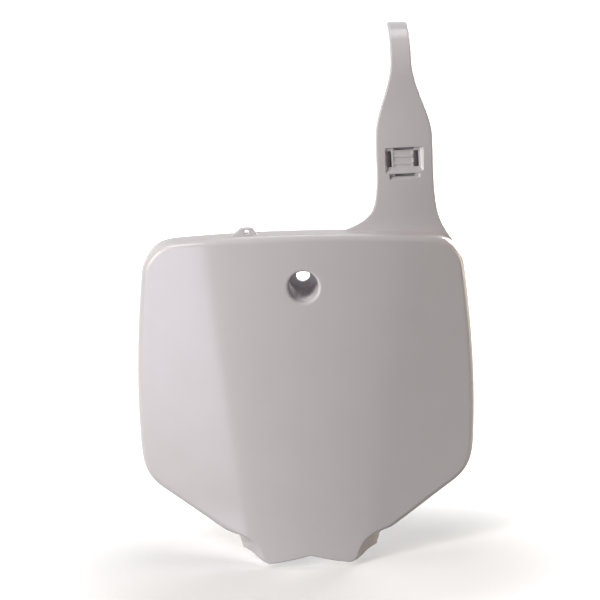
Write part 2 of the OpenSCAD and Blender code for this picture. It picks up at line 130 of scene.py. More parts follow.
# the board's face, flange and nose
board = {
    "halfWidth": 113.5,
    "topHeight": 33.0,  # above the bolt
    "waistDrop": 82.0,  # the widest place, below the bolt
    "notchDrop": 175.2,
    "wall": 2.4,
    "edgeRadius": 4.0,
    "innerRadiusLeast": 0.3,
    "flangeDepth": 12.0,
    "lean": 13.0,
    "creaseX": 63.0,
    "creaseClose": 0.13,  # the creases close towards the bottom
    "panelAngle": 8.5,
    "wingAngle": 14.5,
    "creaseSoft": 8.0,
    "creaseSharpens": 260.0,  # fall over which the softness would run out
    "creaseSoftLeast": 0.35,
    "noseStart": 140.0,
    "noseReach": 40.0,
    "noseOut": 4.0,
    "footX": 29.6,
    "stepX": 44.8,
    "slantAngle": 30.0,
    "slantEndOut": 28.2,  # from the foot
    "slantEndHeading": -151,
    "draft": 0.4,
    "lipRadius": 0.6,
    "outlineStep": 1.9,
    "fineShare": 0.45,  # of the step, at the corners and round the nose
    "fineSpans": (1, 2, 6),
    "fineFrom": 8,
    "spanLeast": 5,
    "frontRings": 60,
    "backRings": 34,
    "sharpAngle": 32.0,
    # outline keys: in from the side, down from the top or from the waist, heading
    "cornerKeys": ((33.2, 5.0, -8), (14.6, 12.0, -45), (5.8, 28.0, -83)),
    "sideKeys": ((0.7, 26.0, -92.5), (5.2, 46.2, -121), (16.2, 56.2, -150)),
    # nose keys: edge point, its heading, rim point, its headings in and out, share of the edge radius,
    # flange depth; a point is out and down from the slant's end, the step, the foot or the notch
    "noseKeys": (
        (("slant", 14.6, 3.4), -158, ("step", 2.4, 7.0), -140, -108, 0.55, 10.5),
        (("slant", 6.9, 7.8), -128, ("step", 0.0, 13.0), -103, -166, 0.42, 9.5),
        (("slant", 3.0, 14.8), -108, ("foot", 6.4, 2.0), -143, -143, 0.38, 5.84),
        (("foot", 0.0, 4.2), -140, ("foot", 0.6, 4.8), -162, -162, 0.35, 3.6),
        (("foot", -3.8, 4.9), -187, ("foot", -3.8, 4.9), -187, -187, 0.3, 3.4),
        (("notch", 0.0, 0.0), -193, ("notch", 0.0, 0.0), -193, -193, 0.3, 3.4),
    ),
}
pocket = {
    "radius": 9.7,
    "depth": 27.0,
    "floor": 3.0,
    "boltRadius": 4.6,
    "mouthRadius": 2.3,
    "floorFillet": 1.2,
    "bossFillet": 1.2,
    "edgeSoft": 0.35,
}


def across(x, z):
    # how far the face falls back beside the middle: a bowed panel, a soft crease, a flat wing
    crease = board["creaseX"] + board["creaseClose"] * z
    soft = board["creaseSoft"] * np.maximum(board["creaseSoftLeast"], 1 + z / board["creaseSharpens"])
    away = np.abs(x)
    inSlope, outSlope = tan(board["panelAngle"]), tan(board["wingAngle"])
    panel = np.where(away < crease, inSlope * away * away / (2 * crease), inSlope * (away - crease / 2))
    hinge = (away - crease + np.sqrt((away - crease) ** 2 + soft * soft)) / 2
    return panel + (outSlope - inSlope) * hinge


def faceY(x, z):
    x, z = np.asarray(x, float), np.asarray(z, float)
    below = np.minimum(0, z + board["noseStart"])
    return (-pocket["depth"] + z * tan(board["lean"]) + across(x, z)
            - across(np.zeros_like(z), np.zeros_like(z))
            - board["noseOut"] * (below / board["noseReach"]) ** 2)


def behindFace(flat, behind=0.0):
    # depths of flat points (x, z), so far behind the face
    return faceY(flat[:, 0], flat[:, 1]) + behind


def outlineKeys():
    # half the outline: edge point, heading, rim point, headings in and out, edge radius, flange
    b = board
    side, top, waist, foot = b["halfWidth"], b["topHeight"], -b["waistDrop"], b["footX"]
    plain = [([0, top], 0)]
    plain += [([side - inward, top - down], angle) for inward, down, angle in b["cornerKeys"]]
    plain.append(([side, waist], -90))
    plain += [([side - inward, waist - down], angle) for inward, down, angle in b["sideKeys"]]
    slantTop = np.array(plain[-1][0])
    slantRun = (slantTop[0] - foot - b["slantEndOut"]) / math.cos(math.radians(b["slantAngle"]))
    slantEnd = slantTop - slantRun * heading(b["slantAngle"])
    plain.append((slantEnd, b["slantEndHeading"]))
    keys = [(p, a, p, a, a, b["edgeRadius"], b["flangeDepth"]) for p, a in plain]
    corners = {"slant": (foot, slantEnd[1]), "step": (b["stepX"], slantEnd[1]),
               "foot": (foot, -b["notchDrop"]), "notch": (0.0, -b["notchDrop"])}

    def at(corner, out, down):
        return [corners[corner][0] + out, corners[corner][1] - down]

    keys += [(at(*edge), angle, at(*rim), into, outOf, share * b["edgeRadius"], depth)
             for edge, angle, rim, into, outOf, share, depth in b["noseKeys"]]
    return keys


def outlineLoop():
    # samples round the whole outline: edge point, outward normal, rim point, radius, depth
    keys = outlineKeys()
    edge, rim, radius, depth = [], [], [], []
    for k in range(len(keys) - 1):
        a, b = keys[k], keys[k + 1]
        span = np.linalg.norm(np.subtract(b[0], a[0]))
        fine = k in board["fineSpans"] or k >= board["fineFrom"]
        step = board["outlineStep"] * (board["fineShare"] if fine else 1.0)
        count = max(board["spanLeast"], round(span / step))
        t = np.arange(count) / count
        if k == len(keys) - 2:
            t = np.append(t, 1.0)
        edge.append(curve(a[0], b[0], a[1], b[1], t))
        rim.append(curve(a[2], b[2], a[4], b[3], t))
        radius.append(a[5] + (b[5] - a[5]) * smooth(t))
        depth.append(a[6] + (b[6] - a[6]) * t)
    edge, rim = np.vstack(edge), np.vstack(rim)
    radius, depth = np.concatenate(radius), np.concatenate(depth)
    along = np.gradient(edge, axis=0)
    normal = unit(np.column_stack([-along[:, 1], along[:, 0]]))
    normal[0] = [0, 1]
    normal[-1] = [0, -1]
    flip = np.array([-1, 1])
    back = slice(-2, 0, -1)
    return (np.vstack([edge, edge[back] * flip]), np.vstack([normal, normal[back] * flip]),
            np.vstack([rim, rim[back] * flip]), np.append(radius, radius[back]),
            np.append(depth, depth[back]))


def buildBoard():
    # one closed skin: pocket, mouth, face, rolled edge, flange, back, boss, seat and bolt hole
    edge, normal, rim, radius, depth = outlineLoop()
    wall, p = board["wall"], pocket
    rings = []

    def add(flat, y):
        rings.append(np.column_stack([flat[:, 0], np.broadcast_to(y, len(flat)), flat[:, 1]]))

    frontEdge = edge - normal * radius[:, None]
    ray = unit(frontEdge)
    # pocket floor and wall, from the bolt hole out
    soft, fillet = p["edgeSoft"], p["floorFillet"]
    for a in quarter(3, 90, 0):
        add(ray * (p["boltRadius"] + soft * (1 - math.sin(a))), -p["floor"] + soft * (1 - math.cos(a)))
    add(ray * (p["radius"] - fillet), -p["floor"])
    for a in quarter(4)[1:]:
        add(ray * (p["radius"] - fillet * (1 - math.sin(a))), -p["floor"] - fillet * (1 - math.cos(a)))
    atWall = ray * p["radius"]
    mouthY = behindFace(atWall, p["mouthRadius"])
    deepY = -p["floor"] - fillet
    for t in fourths:
        add(atWall, deepY + (mouthY - deepY) * t)
    # the rolled mouth ends level with the face
    for a in quarter(9, 90, 0):
        flat = ray * (p["radius"] + p["mouthRadius"] * (1 - math.sin(a)))
        add(flat, behindFace(flat, p["mouthRadius"] * (1 - math.cos(a))))
    mouthR = p["radius"] + p["mouthRadius"]
    far = np.linalg.norm(frontEdge, axis=1)
    for t in np.arange(1, board["frontRings"] + 1) / board["frontRings"]:
        flat = ray * (mouthR + (far - mouthR) * t)[:, None]
        add(flat, behindFace(flat))
    # rolled edge, flange and its lip
    for a in quarter(10)[1:]:
        flat = edge - normal * (radius * (1 - math.sin(a)))[:, None]
        add(flat, behindFace(flat, radius * (1 - math.cos(a))))
    rimOut = rim + normal * board["draft"]
    rimIn = rimOut - normal * wall
    lip = board["lipRadius"]
    edgeY = behindFace(edge)
    for t in thirds + (1.0,):
        add(edge + (rimOut - edge) * t, edgeY + radius + (depth - lip - radius) * t)
    for a in quarter(3)[1:]:
        add(rimOut - normal * lip * (1 - math.cos(a)), edgeY + depth - lip * (1 - math.sin(a)))
    for a in quarter(3, 90, 0):
        add(rimIn + normal * lip * (1 - math.cos(a)), edgeY + depth - lip * (1 - math.sin(a)))
    # the hollow side
    innerRadius = np.maximum(radius - wall, board["innerRadiusLeast"])
    innerTop = edge - normal * wall
    startY = edgeY + depth - lip
    endY = behindFace(innerTop, wall + innerRadius)
    for t in thirds:
        add(rimIn + (innerTop - rimIn) * t, startY + (endY - startY) * t)
    for a in quarter(4, 90, 0):
        flat = edge - normal * (wall + innerRadius * (1 - math.sin(a)))[:, None]
        add(flat, behindFace(flat, wall + innerRadius * (1 - math.cos(a))))
    backEdge = edge - normal * (wall + innerRadius)[:, None]
    backRay = unit(backEdge)
    near = np.linalg.norm(backEdge, axis=1)
    bossR = p["radius"] + wall
    rootR = bossR + p["bossFillet"]
    for t in np.arange(board["backRings"] - 1, -1, -1) / board["backRings"]:
        flat = unit(backRay * t + ray * (1 - t)) * (rootR + (near - rootR) * t)[:, None]
        add(flat, behindFace(flat, wall))
    # the pocket's outside and its seat round the bolt hole
    for a in quarter(3)[1:]:
        flat = ray * (rootR - p["bossFillet"] * math.sin(a))
        add(flat, behindFace(flat, wall + p["bossFillet"] * (1 - math.cos(a))))
    atBoss = ray * bossR
    bossY = behindFace(atBoss, wall + p["bossFillet"])
    for t in thirds:
        add(atBoss, bossY + (-soft - bossY) * t)
    for a in quarter(3):
        add(ray * (bossR - soft * (1 - math.cos(a))), -soft + soft * math.sin(a))
    for a in quarter(3):
        add(ray * (p["boltRadius"] + soft * (1 - math.sin(a))), -soft * (1 - math.cos(a)))
    return ringObject("numberBoard", rings, closed=True)


moulding = buildBoard()
print("board", len(moulding.data.polygons), "faces")

# the strap behind the top edge
strap = {
    "x": 68.9,
    "thickness": 2.6,
    "width": 37.9,
    "tongueWidth": 13.4,
    "tongueShift": 1.4,
    "tipShift": 0.7,
    "lean": 16.0,
    "straightHeight": 86.0,
    "shoulderRise": 3.0,  # the sides start to close this far above the straight part
    "neckHeight": 118.0,
    "bendHeight": 125.4,
    "bendRadius": 33.0,
    "tongueEnd": 2.0,
    "tipSoft": 1.2,
    "taper": 12.6,
    "taperOut": 0.2,
    "crown": 300.0,
    "flatHeight": 110.0,
    "rootSink": 1.4,
    "edgeRadius": 1.2,
    "rowSteps": 14,
    "bendSteps": 26,
    "columns": 30,
    # left and right side: the flare's places are out from the side and up from the board's top
    "sides": (
        {"out": -1, "rootOut": 23.1, "rootHeading": 20, "flare": ((4.6, 9.3, 50), (1.1, 18.0, 80)),
         "shoulderHeading": 89, "neckIn": 6.8, "neckHeading": 73, "tongueHeading": 87},
        {"out": 1, "rootOut": 13.0, "rootHeading": 130, "flare": ((4.4, 2.5, 111), (1.1, 20.0, 95)),
         "shoulderHeading": 92, "neckIn": 8.6, "neckHeading": 109.5, "tongueHeading": 94},
    ),
}


def rimLine():
    # the board's top edge from the middle to the corner, which the strap's root follows
    keys, points = outlineKeys(), []
    for k, start, count in ((0, 0.0, 60), (1, 0.02, 30)):
        a, b = keys[k], keys[k + 1]
        points.append(curve(a[0], b[0], a[1], b[1], np.linspace(start, 1, count)))
    return np.vstack(points)


topLine = rimLine()


def rimZ(x):
    return np.interp(x, topLine[:, 0], topLine[:, 1])


def rootY(x):
    return faceY(x, rimZ(x)) + board["flangeDepth"] - strap["thickness"]


rootTop = float(rimZ(strap["x"]))
kneeY = float(rootY(strap["x"])) + (strap["straightHeight"] - rootTop) * tan(strap["lean"])
kneeR = (strap["bendHeight"] - strap["straightHeight"]) / math.sin(math.radians(strap["lean"]))
bendY = kneeY + kneeR * (1 - math.cos(math.radians(strap["lean"])))
tipY = bendY + strap["bendRadius"] + strap["tongueEnd"]


def leanAt(z):
    s = strap
    knee = np.degrees(np.arcsin(np.clip((s["bendHeight"] - z) / kneeR, 0, 1)))
    hook = np.degrees(np.arcsin(np.clip((z - s["bendHeight"]) / s["bendRadius"], 0, 1)))
    return np.where(z < s["straightHeight"], s["lean"], np.where(z < s["bendHeight"], knee, hook))


def middleY(z):
    straight = kneeY - (strap["straightHeight"] - z) * tan(strap["lean"])
    radius = np.where(z < strap["bendHeight"], -kneeR, strap["bendRadius"])
    bowed = bendY + (1 - np.cos(np.radians(leanAt(z)))) * radius
    return np.where(z < strap["straightHeight"], straight, bowed)


def follow(z):
    # 1 at the rim, 0 from where the strap is flat
    return 1 - smooth(np.clip((z - rootTop) / (strap["flatHeight"] - rootTop), 0, 1))


def strapY(x, z):
    free = middleY(z) + (x - strap["x"]) ** 2 / (2 * strap["crown"])
    atRim = rootY(x) + (z - rimZ(x)) * tan(strap["lean"])
    return free + (atRim - free) * follow(z)


def sidePoints(side):
    # up one side of the strap, from its root to where the tongue begins
    s, out = strap, side["out"]
    x = s["x"] + out * s["width"] / 2
    rootX = x + out * side["rootOut"]
    tongueX = s["x"] - s["tongueShift"] + out * (s["tongueWidth"] / 2 + s["taperOut"])
    keys = [([rootX, float(rimZ(rootX))], side["rootHeading"])]
    keys += [([x + out * away, board["topHeight"] + up], angle) for away, up, angle in side["flare"]]
    keys += [([x, s["straightHeight"] + s["shoulderRise"]], side["shoulderHeading"]),
             ([x - out * side["neckIn"], s["neckHeight"]], side["neckHeading"]),
             ([tongueX, s["bendHeight"] + s["taper"]], side["tongueHeading"])]
    steps = np.arange(s["rowSteps"]) / s["rowSteps"]
    return np.vstack([curve(a[0], b[0], a[1], b[1], steps) for a, b in zip(keys, keys[1:])])


def strapSection(width):
    # places round the strap's section: share across, share of the thickness
    r, t = strap["edgeRadius"], strap["thickness"]
    u, v = r / width, r / t
    places = [(u + (1 - 2 * u) * i / strap["columns"], 0) for i in range(strap["columns"] + 1)]
    corners = [((1 - u, v), -90), ((1 - u, 1 - v), 0), ((u, 1 - v), 90), ((u, v), 180)]
    for n, ((cu, cv), start) in enumerate(corners):
        for a in quarter(4, start, start + 90)[1:]:
            places.append((cu + u * math.cos(a), cv + v * math.sin(a)))
        if n == 1:
            places += [(1 - u - (1 - 2 * u) * i / strap["columns"], 1) for i in range(1, strap["columns"])]
    return np.array(places[:-1])


def buildStrap():
    s = strap
    left, right = [sidePoints(side) for side in s["sides"]]
    rows = []
    for j in range(len(left)):
        places = strapSection(np.linalg.norm(right[j] - left[j]))
        flat = left[j] + (right[j] - left[j]) * places[:, :1]
        level = (left[j][1] + right[j][1]) / 2
        rimLeft, rimRight = rimZ(left[j][0]), rimZ(right[j][0])
        bow = rimZ(flat[:, 0]) - rimLeft - (rimRight - rimLeft) * places[:, 0]
        flat[:, 1] += follow(level) * bow - (s["rootSink"] if j == 0 else 0)
        a = math.radians(float(leanAt(level)))
        depth = places[:, 1] * s["thickness"]
        rows.append(np.column_stack([flat[:, 0], strapY(flat[:, 0], flat[:, 1]) + depth * math.cos(a),
                                     flat[:, 1] - depth * math.sin(a)]))

    def bentRow(t, y, z, a, width):
        places = strapSection(width)
        depth = places[:, 1] * s["thickness"]
        middle = s["x"] - s["tongueShift"] - s["tipShift"] * t * t
        return np.column_stack([middle + width * (places[:, 0] - 0.5), y + depth * math.cos(a),
                                z - depth * math.sin(a)])

    r, bend = s["bendRadius"], s["bendHeight"]
    first = math.asin(s["taper"] / r)
    for t in np.arange(s["bendSteps"] + 1) / s["bendSteps"]:
        a = first + (math.pi / 2 - first) * t
        rows.append(bentRow(t, bendY + r * (1 - math.cos(a)), bend + r * math.sin(a), a,
                            s["tongueWidth"] + 2 * s["taperOut"] * (1 - t) ** 2))
    # the tongue's end, its corners rounded
    soft = s["tipSoft"]
    for a in quarter(7):
        rows.append(bentRow(1, tipY - soft + soft * math.sin(a), bend + r, math.pi / 2,
                            s["tongueWidth"] - 2 * soft * (1 - math.cos(a))))
    return ringObject("barStrap", rows)


barStrap = buildStrap()
print("strap", len(barStrap.data.polygons), "faces")

# the buckle in the strap; pairs are width and height
buckle = {
    "height": 75.0,
    "recess": (25.6, 16.4),
    "recessDepth": 2.0,
    "ramps": (1.0, 1.8, 2.4, 0.4),  # how far its left, right, foot and head slope in
    "rampSteps": (0.5, 0.93),
    "rampRound": (0.15, 0.15, 0.15, 0.1),
    "windowShift": -0.8,
    "bridge": 14.8,
    "window": (3.4, 10.4),
    "windowRise": 0.8,
    "slotHeight": 1.6,
    "topSlot": (13.6, 0.9),  # width, and the depth that it is cut from
    "topSlotShort": 0.05,
    "lip": 0.8,
    "exit": (20.8, 4.4),
    # rings of the exit's ramp: in at the left, in at the right, up at the foot, depth
    "exitRings": ((-0.2, -0.2, -0.2, -1.0), (-0.15, -0.15, -0.1, 0.03), (0.3, 0.5, 1.0, 1.0),
                  (0.8, 1.2, 2.0, 2.0)),
    "exitSlot": (13.2, 1.0),
    "bridgeThickness": 1.4,
    "tunnelDepth": 3.8,
    "backWall": 1.6,
    "housingEdge": 2.2,
    "housingHead": 3.4,
    "housingFoot": 6.6,
    "housingSlope": 2.4,
    "housingRoot": 1.2,
    # the housing's back edge: in at the sides, past the slope, short of the back
    "housingRound": ((0.2, -0.6, 0.7), (0.4, -0.2, 0.2), (0.9, 0.3, 0.0)),
    "through": 0.5,  # how far a cut runs past the bridge's back
    "edgeSoft": 0.28,
    "softLead": (0.95, 1.0),  # share of the softness, and how far in front a cut starts
    "softProfile": ((0.7, 0.04), (0.35, 0.24), (0.12, 0.55), (0.0, 1.0)),
    "rail": {"width": 1.3, "height": 0.45, "over": 0.05, "sunk": 0.4, "round": 0.15},
    "corners": {"housing": 1.4, "tunnel": 0.8, "recess": 0.9, "window": 0.5, "rail": 0.2, "slot": 0.3,
                "exit": 0.4},
    "cornerSteps": 4,
    "sideSteps": 7,
}
buckleAt = np.array([strap["x"], float(middleY(buckle["height"])), buckle["height"]])
buckleEnds = strapY(strap["x"] + np.array([-0.5, 0.5]) * buckle["recess"][0], buckle["height"])
buckleTurn = math.atan2(buckleEnds[1] - buckleEnds[0], buckle["recess"][0])
buckleMatrix = np.array(Matrix.Rotation(buckleTurn, 3, "Z"))
leanCos, leanSin = heading(strap["lean"])
acrossStrap = buckleMatrix @ [1, 0, 0]
intoStrap = buckleMatrix @ [0, leanCos, -leanSin]
upStrap = buckleMatrix @ [0, leanSin, leanCos]


def onBuckle(u, depth, v):
    # a place across, into and up the strap, following its crown
    u, depth, v = np.broadcast_arrays(np.asarray(u, float), depth, v)
    bow = u * u / (2 * strap["crown"])
    return buckleAt + np.outer(u, acrossStrap) + np.outer(depth + bow, intoStrap) + np.outer(v, upStrap)


def roundedRing(u0, u1, v0, v1, corner):
    turnSteps, points, dense = buckle["cornerSteps"], [], []
    for cu, cv, start in ((u1 - corner, v1 - corner, 0), (u0 + corner, v1 - corner, 90),
                          (u0 + corner, v0 + corner, 180), (u1 - corner, v0 + corner, 270)):
        for a in quarter(turnSteps, start, start + 90):
            points.append((cu + corner * math.cos(a), cv + corner * math.sin(a)))
    for i, p in enumerate(points):
        q = points[(i + 1) % len(points)]
        steps = buckle["sideSteps"] if i % (turnSteps + 1) == turnSteps else 1
        dense += [(p[0] + (q[0] - p[0]) * k / steps, p[1] + (q[1] - p[1]) * k / steps) for k in range(steps)]
    return np.array(dense)


def softHole(u0, u1, v0, v1, top, bottom):
    # rings of a hole whose upper edge is softened
    soft = buckle["edgeSoft"]
    share, lead = buckle["softLead"]
    out = [(share * soft, -lead)] + [(wider * soft, down * soft) for wider, down in buckle["softProfile"]]
    rings = [(u0 - g, u1 + g, v0 - g, v1 + g, top + d) for g, d in out]
    return rings + [(u0, u1, v0, v1, bottom)]


def shapeBuckle(corner, rings, operation="DIFFERENCE"):
    # cuts or joins a block through rings of (left, right, foot, head, depth)
    rows = []
    for u0, u1, v0, v1, depth in rings:
        flat = roundedRing(u0, u1, v0, v1, buckle["corners"][corner])
        rows.append(onBuckle(flat[:, 0], depth, flat[:, 1]))
    cutOrJoin(barStrap, ringObject("buckleBlock", rows), operation)


def buildBuckle():
    b = buckle
    wide, high = b["recess"][0] / 2, b["recess"][1] / 2
    shift, soft, deep = b["windowShift"], b["edgeSoft"], b["recessDepth"]
    floorBack = deep + b["bridgeThickness"]
    tunnelBack = floorBack + b["tunnelDepth"]
    back = tunnelBack + b["backWall"]
    # the housing behind the strap, with sloped ends
    low, top = -high - b["housingFoot"], high + b["housingHead"]
    edge, slope = wide + b["housingEdge"], b["housingSlope"]
    rings = [(-edge, edge, low, top, depth) for depth in (b["housingRoot"], strap["thickness"])]
    rings += [(-edge + inward, edge - inward, low + slope + past, top - slope - past, back - short)
              for inward, past, short in b["housingRound"]]
    shapeBuckle("housing", rings, "UNION")
    # tunnel for the tongue
    slotTop = -high - b["lip"]
    slotLow = slotTop - b["slotHeight"]
    inner = b["bridge"] / 2 + b["window"][0]
    shapeBuckle("tunnel", [(shift - inner, shift + inner, slotLow, high, depth)
                           for depth in (floorBack, tunnelBack)])

    # the recess, its sides sloped
    def recessRing(insets, depth):
        left, right, foot, head = insets
        return -wide + left, wide - right, -high + foot, high - head, depth

    rings = softHole(-wide, wide, -high, high, 0, soft)[:-1]
    rings += [recessRing([ramp * t for ramp in b["ramps"]], soft + (deep - soft) * t)
              for t in b["rampSteps"]]
    rings.append(recessRing([ramp + more for ramp, more in zip(b["ramps"], b["rampRound"])], deep))
    shapeBuckle("recess", rings)
    # windows beside the bridge, rails along its sides
    w, h = b["window"]
    v0, v1 = b["windowRise"] - h / 2, b["windowRise"] + h / 2
    for side in (-1, 1):
        middle = shift + side * (b["bridge"] + w) / 2
        rings = softHole(middle - w / 2, middle + w / 2, v0, v1, deep, floorBack + b["through"])
        shapeBuckle("window", rings)
    rail = b["rail"]
    for side in (-1, 1):
        inner, outer = b["bridge"] / 2 - rail["width"], b["bridge"] / 2 + rail["over"]
        u0, u1 = sorted((shift + side * inner, shift + side * outer))
        crest, g = deep - rail["height"], rail["round"]
        shapeBuckle("rail", [(u0, u1, v0, v1, floorBack - rail["sunk"]), (u0, u1, v0, v1, crest + g),
                             (u0 + g, u1 - g, v0 + g, v1 - g, crest)], "UNION")
    # the slot at the bridge's head, the exit's ramp below the lip and its slot
    width, start = b["topSlot"]
    shapeBuckle("slot", [(-width / 2, width / 2, high - b["slotHeight"], high - b["topSlotShort"], depth)
                         for depth in (start, floorBack + b["through"])])
    half, foot = b["exit"][0] / 2, -high - b["exit"][1]
    shapeBuckle("exit", [(-half + left, half - right, foot + up, slotTop, depth)
                         for left, right, up, depth in b["exitRings"]])
    width, start = b["exitSlot"]
    shapeBuckle("slot", [(-width / 2, width / 2, slotLow, slotTop, depth)
                         for depth in (start, floorBack + b["through"])])


buildBuckle()
print("buckle cut,", len(barStrap.data.polygons), "faces")

# the eyelet on the top edge
eyelet = {
    "x": -36.4,
    "rise": 1.2,
    "hole": 1.4,
    "back": 6.0,
    "thickness": 3.6,
    "edgeSoft": 0.5,
    # right flank, crown and left flank: points from the board's top edge, headings, steps
    "flanks": (((7.2, -0.6), (4.4, 3.0), 140, 122, 8), ((4.4, 3.0), (-4.6, 3.0), 162, 198, 16),
               ((-4.6, 3.0), (-9.8, -0.6), 222, 202, 8)),
    "base": -2.4,
    # the hole's softened edge: wider by, and how far in
    "holeEdge": ((0.5, -1.0), (0.35, 0.03), (0.1, 0.2), (0.0, 0.5)),
    "holeSides": 36,
}


def buildEyelet():
    e, top = eyelet, board["topHeight"]
    start = float(faceY(e["x"], top)) + e["back"]
    outline = []
    for p, q, a, b, count in e["flanks"]:
        outline += list(curve(p, q, a, b, np.arange(count) / count))
    right = e["flanks"][0][0][0]
    left, low = e["flanks"][-1][1]
    outline = np.array(outline + [[left, low], [left, e["base"]], [right, e["base"]]]) + [e["x"], top]
    along = np.roll(outline, -1, axis=0) - np.roll(outline, 1, axis=0)
    inward = unit(np.column_stack([-along[:, 1], along[:, 0]]))
    rings = []
    for side, angles in ((0, quarter(3, 90, 0)), (1, quarter(3))):
        for a in angles:
            flat = outline + inward * e["edgeSoft"] * (1 - math.cos(a))
            inset = e["edgeSoft"] * (1 - math.sin(a))
            y = start + (e["thickness"] - inset if side else inset)
            rings.append(np.column_stack([flat[:, 0], np.full(len(flat), y), flat[:, 1]]))
    piece = ringObject("eyelet", rings)
    turns = np.arange(e["holeSides"]) * 2 * math.pi / e["holeSides"]
    steps = list(e["holeEdge"]) + [(wider, e["thickness"] - y) for wider, y in reversed(e["holeEdge"])]
    rings = []
    for wider, y in steps:
        r = e["hole"] + wider
        rings.append(np.column_stack([e["x"] + r * np.cos(turns), np.full(len(turns), start + y),
                                      top + e["rise"] + r * np.sin(turns)]))
    cutOrJoin(piece, ringObject("eyeletHole", rings), "DIFFERENCE")
    return piece


barEyelet = buildEyelet()
print("eyelet", len(barEyelet.data.polygons), "faces")

# moulded polypropylene
plastic = {
    "colour": "#D8D4D7",
    "colourThick": "#D2CDCF",
    "roughness": 0.24,
    "roughSpread": 0.03,
    "ior": 1.49,
    "flow": {"sizeMm": 30.0, "detail": 3.0},
    "peel": {"sizeMm": 6.0, "detail": 1.0, "strength": 0.5, "depthMm": 0.03},
    "grain": {"sizeMm": 0.9, "detail": 2.0, "strength": 0.35, "depthMm": 0.012},  # really 0.2 mm
}


def srgb(text):
    # sRGB hex to the linear values that a shader takes
    parts = [int(text[i:i + 2], 16) / 255 for i in (1, 3, 5)]
    return [c / 12.92 if c <= 0.04045 else ((c + 0.055) / 1.055) ** 2.4 for c in parts] + [1.0]


def addNode(tree, kind, links=None, **settings):
    # links: input name or number -> output socket; settings: input names or node properties
    node = tree.nodes.new(kind)
    for key, value in settings.items():
        if hasattr(node, key):
            setattr(node, key, value)
        else:
            node.inputs[key.replace("_", " ")].default_value = value
    for key, socket in (links or {}).items():
        tree.links.new(socket, node.inputs[key])
    return node


def buildPlastic():
    # injection-moulded white polypropylene from a polished tool: an even soft gloss, faint orange
    # peel and flow marks, hardly any change of colour; the grain is drawn coarse enough to show
    made = bpy.data.materials.new("whiteMouldedPolypropylene")
    made.use_nodes = True
    tree = made.node_tree
    tree.nodes.clear()
    p = plastic
    place = addNode(tree, "ShaderNodeTexCoord").outputs["Object"]

    def noise(values):
        return addNode(tree, "ShaderNodeTexNoise", {"Vector": place}, Scale=1000 / values["sizeMm"],
                       Detail=values["detail"]).outputs["Fac"]

    flow = noise(p["flow"])
    colour = addNode(tree, "ShaderNodeMix", {"Factor": flow}, data_type="RGBA")
    colour.inputs[6].default_value = srgb(p["colour"])
    colour.inputs[7].default_value = srgb(p["colourThick"])
    rough = addNode(tree, "ShaderNodeMapRange", {"Value": flow}, To_Min=p["roughness"] - p["roughSpread"],
                    To_Max=p["roughness"] + p["roughSpread"])
    bump = {}
    for values in (p["peel"], p["grain"]):
        node = addNode(tree, "ShaderNodeBump", {"Height": noise(values), **bump},
                       Strength=values["strength"], Distance=values["depthMm"] * mm)
        bump = {"Normal": node.outputs["Normal"]}
    shader = addNode(tree, "ShaderNodeBsdfPrincipled",
                     {"Base Color": colour.outputs[2], "Roughness": rough.outputs["Result"], **bump},
                     IOR=p["ior"])
    addNode(tree, "ShaderNodeOutputMaterial", {"Surface": shader.outputs["BSDF"]})
    return made


whitePlastic = buildPlastic()
print("plastic ready")

# ribs on the bridge and teeth under the tongue
ribs = {"count": 2, "sides": 12, "radius": 0.95, "length": 13.6, "first": -2.2, "pitch": 4.8, "sunk": 0.2}
teeth = {"count": 4, "sides": 3, "radius": 1.4, "length": 11.0, "first": 3.0, "pitch": 4.0, "sunk": 0.1}


def barRowTree():
    # short bars along X, each held off its point by Arm and turned about X by First + index * Turn
    tree = bpy.data.node_groups.new("barRow", "GeometryNodeTree")
    for name, kind in (("Count", "Int"), ("Start", "Vector"), ("Step", "Vector"), ("Arm", "Vector"),
                       ("First", "Float"), ("Turn", "Float"), ("Sides", "Int"), ("Radius", "Float"),
                       ("Length", "Float"), ("Material", "Material")):
        tree.interface.new_socket(name, in_out="INPUT", socket_type="NodeSocket" + kind)
    tree.interface.new_socket("Geometry", in_out="OUTPUT", socket_type="NodeSocketGeometry")
    given = addNode(tree, "NodeGroupInput").outputs
    bar = addNode(tree, "GeometryNodeMeshCylinder", {"Vertices": given["Sides"], "Radius": given["Radius"],
                                                     "Depth": given["Length"]})
    laid = addNode(tree, "GeometryNodeTransform", {"Geometry": bar.outputs["Mesh"],
                                                   "Translation": given["Arm"]})
    laid.inputs["Rotation"].default_value = (0, math.pi / 2, 0)
    row = addNode(tree, "GeometryNodeMeshLine", {"Count": given["Count"], "Start Location": given["Start"],
                                                 "Offset": given["Step"]})
    index = addNode(tree, "GeometryNodeInputIndex").outputs["Index"]
    angle = addNode(tree, "ShaderNodeMath", {0: index, 1: given["Turn"], 2: given["First"]},
                    operation="MULTIPLY_ADD")
    turned = addNode(tree, "ShaderNodeCombineXYZ", {"X": angle.outputs[0]})
    placed = addNode(tree, "GeometryNodeInstanceOnPoints",
                     {"Points": row.outputs["Mesh"], "Instance": laid.outputs["Geometry"],
                      "Rotation": turned.outputs["Vector"]})
    real = addNode(tree, "GeometryNodeRealizeInstances", {"Geometry": placed.outputs["Instances"]})
    done = addNode(tree, "GeometryNodeSetMaterial", {"Geometry": real.outputs["Geometry"],
                                                     "Material": given["Material"]})
    addNode(tree, "NodeGroupOutput", {"Geometry": done.outputs["Geometry"]})
    return tree


barRowGroup = barRowTree()


def barRowObject(name, **values):
    piece = meshObject(name, np.zeros((0, 3)), [])
    step = piece.modifiers.new("row", "NODES")
    step.node_group = barRowGroup
    for item in barRowGroup.interface.items_tree:
        if item.in_out == "INPUT":
            step[item.identifier] = values[item.name]
    keepMesh(piece)
    return piece


def metres(point):
    return [float(v) * mm for v in point]


